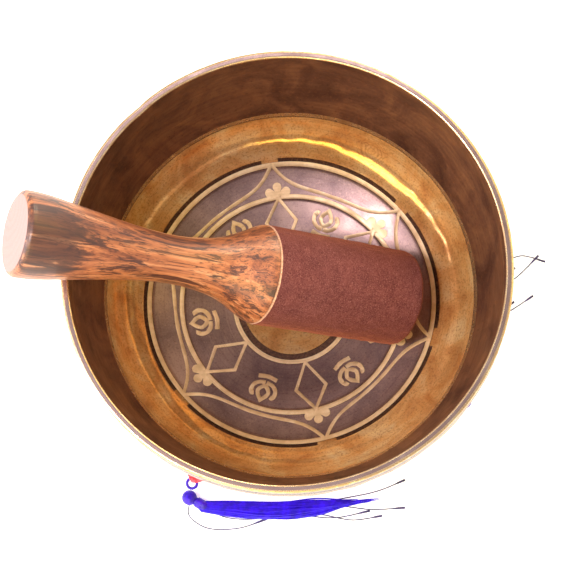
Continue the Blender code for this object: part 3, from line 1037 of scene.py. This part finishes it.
def bowl_underside(x, y):
    """Height of the bowl's outside over the cushion."""
    radius = np.hypot(x - BOWL_AXIS[0], y - BOWL_AXIS[1])
    curve = OUTER_CURVE[::-1]
    return FOOT_Z + BOWL_HEIGHT - np.interp(radius, curve[:, 0], curve[:, 1])


def puckers(u, v, seed):
    """Gathers that run in from the seams, and folds along the diagonals into the corners."""
    total = np.zeros_like(u)
    for edge, (along, inward) in enumerate(((u, 1 - v), (u, 1 + v), (v, 1 - u), (v, 1 + u))):
        share = (along + 1) / 2
        wave = np.sin(2 * math.pi * (9 * share + 0.6 * wander(share, seed + edge, 4, False)))
        depth = 0.6 + 0.4 * wander(share, seed + 10 + edge, 6, False)
        total += 0.55 * depth * wave * np.exp(-inward / 0.16) * ease(inward / 0.03)
    fold = bell(np.abs(u) - np.abs(v), 0.05) * ease((np.abs(u) + np.abs(v) - 1.05) / 0.5)
    total -= 0.9 * fold * ease((1 - np.abs(u * v)) / 0.25)
    total += 0.18 * np.sin(19 * u + 3 * v) * np.sin(3 * u - 17 * v)
    return total


def brocade_material():
    """Red silk brocade: fine ribs, and a gold lattice of small rosettes woven into it."""
    look = Look("brocade")
    weave = look.times(look.wave(look.x, 9000.0), look.wave(look.y, 7600.0))
    turned = look.node("ShaderNodeMapping", {"Vector": look.place,
                                             "Rotation": (0.0, 0.0, math.radians(45))}).outputs[0]
    lattice = look.node("ShaderNodeSeparateXYZ", {0: turned}).outputs
    lines = [look.math("ABSOLUTE", look.wave(axis, math.pi / BROCADE_PITCH))
             for axis in (lattice[0], lattice[1])]
    petals = look.plus(look.times(*lines),
                       look.times(look.wave(look.plus(look.x, look.y), 2600.0), 0.05))
    motif = look.math("MAXIMUM", look.between(look.math("MINIMUM", *lines), 0.16, 0.08),
                      look.between(petals, 0.84, 0.9), clamp=True)
    worn = look.noise(160.0, 4.0, 0.6)
    red = look.ramp(worn, (0.3, 170, 12, 34), (0.55, 206, 24, 50), (0.75, 232, 48, 84))
    gold = look.ramp(worn, (0.3, 184, 130, 46), (0.7, 232, 188, 96))
    tone = look.mix(look.times(motif, 0.9), red, gold)
    tone = look.over(tone, weave, 0.2, 0.9, 0.25, 120, 8, 28)
    ribbed = look.bump(weave, 0.06, 0.6, look.bump(motif, 0.14, 0.6))
    return look.done(tone, look.between(worn, 0.3, 0.7, 0.55, 0.4), 0.0, ribbed,
                     sheen_weight=0.5, sheen_roughness=0.35, sheen_tint=(255, 150, 170))


def backing_material():
    """Plain cotton backing."""
    look = Look("cotton_backing")
    weave = look.times(look.wave(look.x, 7000.0), look.wave(look.y, 7000.0))
    tone = look.ramp(look.noise(120.0, 4.0, 0.6), (0.3, 132, 14, 30), (0.7, 172, 30, 46))
    tone = look.over(tone, weave, 0.1, 0.9, 0.3, 98, 8, 22)
    return look.done(tone, 0.85, 0.0, look.bump(weave, 0.08, 0.7), sheen_weight=0.25)


def make_cover(looks):
    """Cushion cover: crowned and dished on top, flat where it stands, gathered at the seam."""
    at = np.sin(np.radians(90) * np.linspace(-1, 1, COVER_CELLS + 1))
    u, v = np.meshgrid(at, at, indexing="ij")
    x, y = cushion_point(u, v, PANEL_INSET * 0.4)
    full = crown(u, v)
    gathered = ease(full / 0.25)
    top = SEAM_Z + TOP_CROWN * full + puckers(u, v, 200) * gathered
    top = np.minimum(top, bowl_underside(x, y) - DISH_CLEAR)
    slack = 1 - np.minimum(1.0, UNDER_FILL * full)
    under = np.maximum(SEAM_Z * slack + 0.8 * puckers(u, v, 300) * gathered * slack, 0.0)
    top = np.maximum(top, under)
    faces = grid_faces(*u.shape)
    inside = np.zeros(u.shape, dtype=bool)
    inside[1:-1, 1:-1] = True
    beneath = np.arange(u.size).reshape(u.shape)
    beneath[inside] = u.size + np.arange(inside.sum())
    lower_faces = beneath.reshape(-1)[faces][:, ::-1]
    shape = Shape()
    shape.add(np.concatenate([np.stack([x, y, top], -1).reshape(-1, 3),
                              np.stack([x, y, under], -1)[inside]]),
              [*faces.tolist(), *lower_faces.tolist()], np.repeat((0, 1), len(faces)))
    cover = add_piece("cushion_cover", shape, looks, "cushion",
                      ("cushion_top_panel", "cushion_bottom_panel", "cushion_filling"))


def seam_path(per_side):
    """The closed line of the cushion's seam, a side at a time."""
    at = np.sin(np.radians(90) * np.linspace(-1, 1, per_side, endpoint=False))
    x, y = cushion_point(at, -1.0, 0.0)
    sides = ((x, y), (-y, x), (-x, -y), (y, -x))
    return np.concatenate([np.column_stack([a, b, 0 * x + SEAM_Z]) for a, b in sides])


def even_spaced(path, count):
    """The same closed line with points the same distance apart."""
    closed = np.concatenate([path, path[:1]])
    return at_lengths(closed, np.linspace(0, lengths(closed)[-1], count, endpoint=False))


def make_piping(look):
    """Three-strand twisted cord sewn along the seam, its corners rounded."""
    path = even_spaced(seam_path(100), PIPING_POINTS)
    for _ in range(6):
        path = (np.roll(path, 1, axis=0) + path + np.roll(path, -1, axis=0)) / 3
    side = np.cross(directions(path, closed=True), UPWARD)
    shape = Shape()
    for strand in range(3):
        turns = PIPING_TURNS * np.arange(PIPING_POINTS) / PIPING_POINTS + strand / 3
        offset = PIPING_TWIST_R * swung(2 * math.pi * turns, side)
        tube(shape, path + offset, PIPING_STRAND_R, sides=7, closed=True)
    add_piece("piping_twist", shape, [look], "cushion", ("cushion_piping",))


# ---------------------------------------------------------------- tassels

LOOP_TUCK = 1.2                   # the thread loop sits this far in under the corner
LOOP_POINTS = 96
KNOT_COLUMNS = 72
STRANDS = 120
STRAND_R = 0.26
STRAND_POINTS = 18
ROUTE_POINTS = 24                 # to each span of the skirt's route
STRAY_R = 0.22
WINDINGS = 6                      # turns of thread in a binding
WINDING_R = 1.78
WINDING_THREAD_R = 0.27
KNOT_THREADS = 7
SIDE_SHIFT = {"front_left": 0.9}  # sideways drift of the skirt's strands
# where a clump of strands gathers across the skirt, as a share of its width, and how far
# sideways its ends drift
CLUMPS = ((-0.3751, 1.6), (-0.1023, 0.5), (0.1364, -0.6), (0.3751, -1.7))
# points of the loose threads in plan, from where each leaves the skirt to its tip
STRAY_THREADS = {
    "front_left": (
        ((-14.0, -71.2), (2.0, -72.8), (14.0, -73.6), (25.2, -72.4)),
        ((-10.0, -72.6), (0.0, -75.6), (10.0, -79.6), (22.2, -82.4)),
        ((-16.0, -73.2), (-8.0, -76.6), (2.0, -81.4), (13.1, -82.9)),
        ((-20.0, -72.4), (-14.0, -75.2), (-4.0, -78.8), (9.2, -79.9)),
        ((-55.5, -58.5), (-56.6, -63.5), (-51.0, -69.6), (-40.0, -72.6), (-29.0, -72.2)),
        ((-50.5, -61.0), (-44.0, -67.2), (-34.0, -70.8), (-24.0, -71.4)),
    ),
    "front_right": (
        ((68.0, -26.0), (78.0, -14.0), (90.0, -9.0), (99.8, -3.5)),
        ((66.0, -22.0), (78.0, -6.0), (92.0, -1.6), (101.6, -6.5)),
        ((66.5, -27.0), (74.0, -18.0), (82.0, -9.0), (89.7, -5.6)),
        ((64.0, -32.0), (70.0, -27.0), (78.0, -21.5), (85.3, -18.3)),
        ((66.0, -30.0), (74.0, -23.5), (84.0, -21.0), (93.0, -18.1)),
    ),
    "back_right": (
        ((30.0, 57.0), (18.0, 62.0), (6.0, 61.0), (-4.0, 65.0)),
    ),
    "back_left": (
        ((-59.0, 24.0), (-64.0, 12.0), (-63.0, 2.0), (-67.0, -8.0)),
    ),
}


def heading_vector(degrees):
    angle = math.radians(degrees)
    return np.array([math.cos(angle), math.sin(angle), 0.0])


def tassel_places(corner):
    """Centre of the loop, centres of knot and binding, and the skirt's three route points."""
    sign_x, sign_y, knot_to, binding_to, heading, curl = TASSELS[corner]
    reach = CUSHION_HALF * (1 - CORNER_ROUND) + LOOP_OUT
    loop = np.array([sign_x * reach, sign_y * reach, LOOP_Z])
    forward = heading_vector(binding_to)
    knot = loop + KNOT_OUT * heading_vector(knot_to)
    binding = knot + (KNOT_R + 0.3 + BINDING_LENGTH / 2) * forward
    start = binding + (BINDING_LENGTH / 2 + SKIRT_CLEAR) * forward
    middle = start + SKIRT_RUN * heading_vector(heading - curl)
    end = middle + SKIRT_RUN * heading_vector(heading + curl)
    return loop, knot, binding, (start, middle, end)


def add_tassel_piece(name, corner, shape, look, stands_for, body=None):
    add_piece(name + corner, shape, [look], body or "tassel_" + corner,
              (stands_for + corner,))


def make_loop(corner, look):
    """The loop of cord at the cushion's corner: two strands twisted together."""
    loop = tassel_places(corner)[0] - LOOP_TUCK * np.array([*TASSELS[corner][:2], 0.0])
    turn = circle(LOOP_POINTS)
    out = swung(turn, np.array((1.0, 0.0, 0.0)), np.array((0.0, 1.0, 0.0)))
    shape = Shape()
    for strand in range(2):
        offset = 0.27 * swung(9 * turn + math.pi * strand, out)
        tube(shape, loop + LOOP_R * out + offset, 0.33, sides=8, closed=True)
    add_tassel_piece("loop_cord_", corner, shape, look, "tassel_loop_", "cushion")


def make_knot(corner, look):
    """A round knot: threads wound over a ball, one layer slanting each way."""
    knot = tassel_places(corner)[1]
    knot[2] = KNOT_Z
    rise = np.linspace(-0.5, 0.5, 48)[:, None] * math.pi * 0.985
    turn = circle(KNOT_COLUMNS)
    slant = np.where(np.abs(turn - math.pi) > 1.6, 9, -9)
    radius = KNOT_R * (0.93 + 0.09 * np.abs(np.sin(KNOT_THREADS * turn + slant * rise)))
    grid = turned_grid(radius * np.cos(rise), radius * np.sin(rise), KNOT_COLUMNS) + knot
    shape = Shape()
    add_turned(shape, grid)
    add_tassel_piece("knot_", corner, shape, look, "tassel_knot_")


def hoop(shape, centre, axis, radius, thickness):
    """A round ring of thread about a level axis."""
    outward = swung(circle(28), np.cross(axis, UPWARD))
    section = swung(circle(8)[None], outward[:, None], axis)
    rings = (centre + radius * outward)[:, None] + thickness * section
    shape.add(rings, grid_faces(*rings.shape[:2], True, True))


def make_binding(corner, look):
    """Thread wound round the neck of the tassel, over the tops of the skirt's strands."""
    _, knot, binding, (start, _, _) = tassel_places(corner)
    binding[2] = BINDING_Z
    forward = unit((start - knot) * (1, 1, 0))
    shape = Shape()
    for at in np.linspace(-1, 1, WINDINGS) * (BINDING_LENGTH / 2 - 0.25):
        hoop(shape, binding + at * forward, forward, WINDING_R, WINDING_THREAD_R)
    neck = [binding + t * forward for t in np.linspace(-2.3, 3.2, 8)]
    tube(shape, neck, (1.2, 1.7, 1.7, 1.7, 1.7, 1.8, 1.7, 1.3), sides=20)
    add_tassel_piece("binding_", corner, shape, look, "tassel_binding_")


def skirt_route(corner):
    """The line that the skirt lies along, going on past its end, and its length to that end."""
    _, _, binding, (start, middle, end) = tassel_places(corner)
    beyond = end + 0.4 * (end - middle)
    stops = [place * (1, 1, 0) for place in (binding, start, middle, end, beyond)]
    route = smooth_path(stops, ROUTE_POINTS)
    return route, lengths(route)[-1 - ROUTE_POINTS]


def strand_path(route, whole, shift, chance):
    """One strand's path and radii; it joins its clump towards the end."""
    angle = chance.uniform(0, 2 * math.pi)
    reach = math.sqrt(chance.uniform(0.02, 1.0))
    across, rise = reach * math.cos(angle), reach * math.sin(angle)
    clump = int(np.clip((across + 1) / 2 * len(CLUMPS), 0, len(CLUMPS) - 1))
    gather, drift = CLUMPS[clump]
    extent = whole * chance.uniform(0.78, 1.06) * (1.08 - 0.1 * (clump % 2))
    run = np.linspace(0.0, extent, STRAND_POINTS)
    centre = at_lengths(route, run)
    side = np.cross(UPWARD, directions(centre))
    head = BINDING_LENGTH / 2 + SKIRT_CLEAR
    share = np.clip((run - head) / (whole - head), 0.0, 1.0)
    width = np.interp(share, *zip(*SKIRT_RADII)) * np.where(run < head, 0.75, 1.0)
    parting = ease((share - 0.45) / 0.55)
    sideways = width * (across * (1 - 0.55 * parting) + gather * parting)
    sideways += drift * parting ** 2
    wave = chance.uniform(0.2, 0.5) * np.sin(run / chance.uniform(4, 9) + angle * 3)
    sideways += wave * ease(share / 0.3) + shift * ease(np.linspace(0, 1.2, STRAND_POINTS))
    path = centre + side * sideways[:, None]
    height = SKIRT_Z + width * SKIRT_FLAT * rise * (1 - 0.45 * parting)
    path[:, 2] = np.maximum(height - 0.9 * parting, STRAND_R + 0.02)
    return path, STRAND_R * np.interp(share, (0.0, 0.9, 1.0), (1.0, 1.0, 0.55))


def make_skirt(corner, look, seed):
    """The hanging strands, laid flat and parted into a few clumps towards their ends."""
    chance = np.random.default_rng(seed)
    route, whole = skirt_route(corner)
    shape = Shape()
    for _ in range(STRANDS):
        path, radii = strand_path(route, whole, SIDE_SHIFT.get(corner, 0.0), chance)
        tube(shape, path, radii, sides=5)
    add_tassel_piece("skirt_strands_", corner, shape, look, "tassel_skirt_")


def make_strays(corner, looks):
    """Loose threads worked out of the skirt, thickened at the tips, in a darker thread as painted
    shade.
    """
    shape = Shape()
    for index, points in enumerate(STRAY_THREADS[corner]):
        path = smooth_path(points, 12)
        share = np.linspace(0, 1, len(path))
        height = 0.5 + 1.6 * (1 - share) ** 2 + 0.5 * np.abs(wander(share, 400 + index, 3))
        radii = STRAY_R + 0.2 * ease((share - 0.86) / 0.08)
        tube(shape, np.column_stack([path, height]), radii, number=1)
    add_piece("stray_threads_" + corner, shape, looks, "tassel_" + corner)


def make_tassels():
    floss = thread_material("floss", (30, 4, 180), (52, 10, 236))
    strong = thread_material("floss_wound", (34, 8, 150), (66, 22, 214))
    # the stray threads' darker copy of the floss is painted shade
    dark = thread_material("floss_stray_shaded", (24, 16, 60), (60, 40, 110))
    for seed, corner in enumerate(TASSELS):
        make_loop(corner, strong)
        make_knot(corner, strong)
        make_binding(corner, strong)
        make_skirt(corner, floss, 500 + seed)
        make_strays(corner, [strong, dark])


# ---------------------------------------------------------------- stage

# name: azimuth and elevation it comes from (degrees), distance (m), power (W),
# width and height (m), colour
LAMPS = {
    "overhead": (188, 65, 0.8, 4.4, 0.16, 0.16, (0.98, 0.93, 1.0)),
    "window_front": (228, 47, 0.9, 4.2, 1.3, 0.17, (1.0, 0.86, 0.2)),
    "window_back": (24, 47, 0.9, 2.6, 0.9, 0.16, (1.0, 0.78, 0.2)),
    "front_left": (237, 25, 0.8, 1.5, 0.28, 0.28, (1.0, 0.88, 0.6)),
    "right_back": (60, 30, 0.8, 3.5, 0.3, 0.3, (1.0, 0.9, 0.7)),
    "above_back": (86, 66, 0.9, 0.4, 0.5, 0.1, (1.0, 0.94, 1.0)),
    "left": (174, 26, 0.7, 3.0, 0.35, 0.35, (1.0, 0.94, 1.0)),
}
# a place up the room, as the world's ramp has it, and how bright the room is there
ROOM = ((0.0, 0.9), (0.45, 0.95), (0.56, 0.58), (0.93, 0.52), (0.985, 0.3), (1.0, 0.3))
FLOOR_SIZE = 6.0                  # metres
FLOOR_DROP = 0.0003               # metres below the cushion


def make_floor():
    """A plain white floor that also glows a little, as a lit sweep does."""
    look = Look("floor_white")
    tone = look.mix(look.noise(3.0, 2.0), (0.9, 0.9, 0.9, 1.0), (0.94, 0.94, 0.94, 1.0))
    look.done(tone, 0.9, 0.0, emission_color=(255, 255, 255), emission_strength=0.55)
    bpy.ops.mesh.primitive_plane_add(size=FLOOR_SIZE, location=(0.0, 0.0, -FLOOR_DROP))
    floor = bpy.context.object
    floor.name = "floor"
    floor.data.materials.append(look.material)


def make_world():
    """A soft white room: bright near the horizon, dimmer above it."""
    world = bpy.data.worlds.new("studio")
    world.use_nodes = True
    tree = world.node_tree
    background = tree.nodes["Background"]
    place = tree.nodes.new("ShaderNodeTexCoord")
    parts = tree.nodes.new("ShaderNodeSeparateXYZ")
    ramp = tree.nodes.new("ShaderNodeValToRGB")
    tree.links.new(place.outputs["Generated"], parts.inputs[0])
    tree.links.new(parts.outputs["Z"], ramp.inputs["Fac"])
    tree.links.new(ramp.outputs["Color"], background.inputs["Color"])
    elements = ramp.color_ramp.elements
    for stop, value in ROOM:
        elements.new(stop).color = (value, value, value, 1.0)
    elements.remove(elements[0])
    elements.remove(elements[-1])
    background.inputs["Strength"].default_value = 1.0
    bpy.context.scene.world = world


def make_lamps():
    aim = Vector((*BOWL_AXIS, 0.5 * RIM_Z)) * MM
    for name, (azimuth, elevation, distance, power, width, height, tint) in LAMPS.items():
        light = bpy.data.lights.new(name, "AREA")
        light.shape = "RECTANGLE"
        light.energy = power
        light.size = width
        light.size_y = height
        light.color = tint
        lamp = bpy.data.objects.new(name, light)
        rise = math.radians(elevation)
        outward = Vector((*polar(azimuth, math.cos(rise)), math.sin(rise)))
        lamp.location = aim + outward * distance
        lamp.rotation_euler = outward.to_track_quat("Z", "Y").to_euler()
        bpy.context.scene.collection.objects.link(lamp)


def make_camera():
    """The photograph's viewpoint: above the rim and a little in front of it."""
    target = Vector((BOWL_AXIS[0], BOWL_AXIS[1], RIM_Z))
    spin = Matrix.Rotation(CAMERA_AZIMUTH, 3, "Z")
    offset = CAMERA_DISTANCE * Vector((0.0, -math.cos(CAMERA_ELEVATION),
                                       math.sin(CAMERA_ELEVATION)))
    ahead = -offset.normalized()
    right = Vector((1.0, 0.0, 0.0))
    up = right.cross(ahead)
    rolled_right = math.cos(CAMERA_ROLL) * right + math.sin(CAMERA_ROLL) * up
    rolled_up = math.cos(CAMERA_ROLL) * up - math.sin(CAMERA_ROLL) * right
    ahead = (ahead + CAMERA_PAN * rolled_right + CAMERA_TILT * rolled_up).normalized()
    right = (rolled_right - ahead * rolled_right.dot(ahead)).normalized()
    up = right.cross(ahead)
    axes = (spin @ Matrix((right, up, -ahead)).transposed()).to_4x4()
    data = bpy.data.cameras.new("photo_view")
    data.lens = CAMERA_LENS
    data.sensor_width = CAMERA_SENSOR
    data.clip_start = 0.01
    camera = bpy.data.objects.new("photo_view", data)
    camera.matrix_world = Matrix.Translation((target + spin @ offset) * MM) @ axes
    bpy.context.scene.collection.objects.link(camera)
    bpy.context.scene.camera = camera


def main():
    make_camera()
    make_world()
    make_lamps()
    make_floor()
    bowl_matrix = Matrix.Translation(Vector((*BOWL_AXIS, RIM_Z)) * MM)
    bowl_looks = [etched_material(), line_material(), groove_and_edge_shade_material(), band_material(),
                  patina_material(), rim_material(), rim_edge_wear_and_highlight_material(), outside_material()]
    make_bowl(bowl_looks, bowl_matrix)
    make_relief([bowl_looks[LINE], bowl_looks[GROOVE_AND_EDGE_SHADE]], bowl_matrix)
    mallet = mallet_matrix()
    make_handle([wood_material(), end_grain_material()], mallet)
    sleeve = make_sleeve([suede_material(), cut_edge_material()], mallet)
    waxed = thread_material("waxed_thread", (70, 34, 22), (120, 66, 44))
    stitches = make_seam_stitches(waxed, mallet)
    make_cover([brocade_material(), backing_material()])
    make_piping(thread_material("piping_thread", (196, 30, 44), (238, 92, 110)))
    make_tassels()
    bpy.context.scene.view_settings.view_transform = "Standard"


main()
bpy.context.view_layer.update()
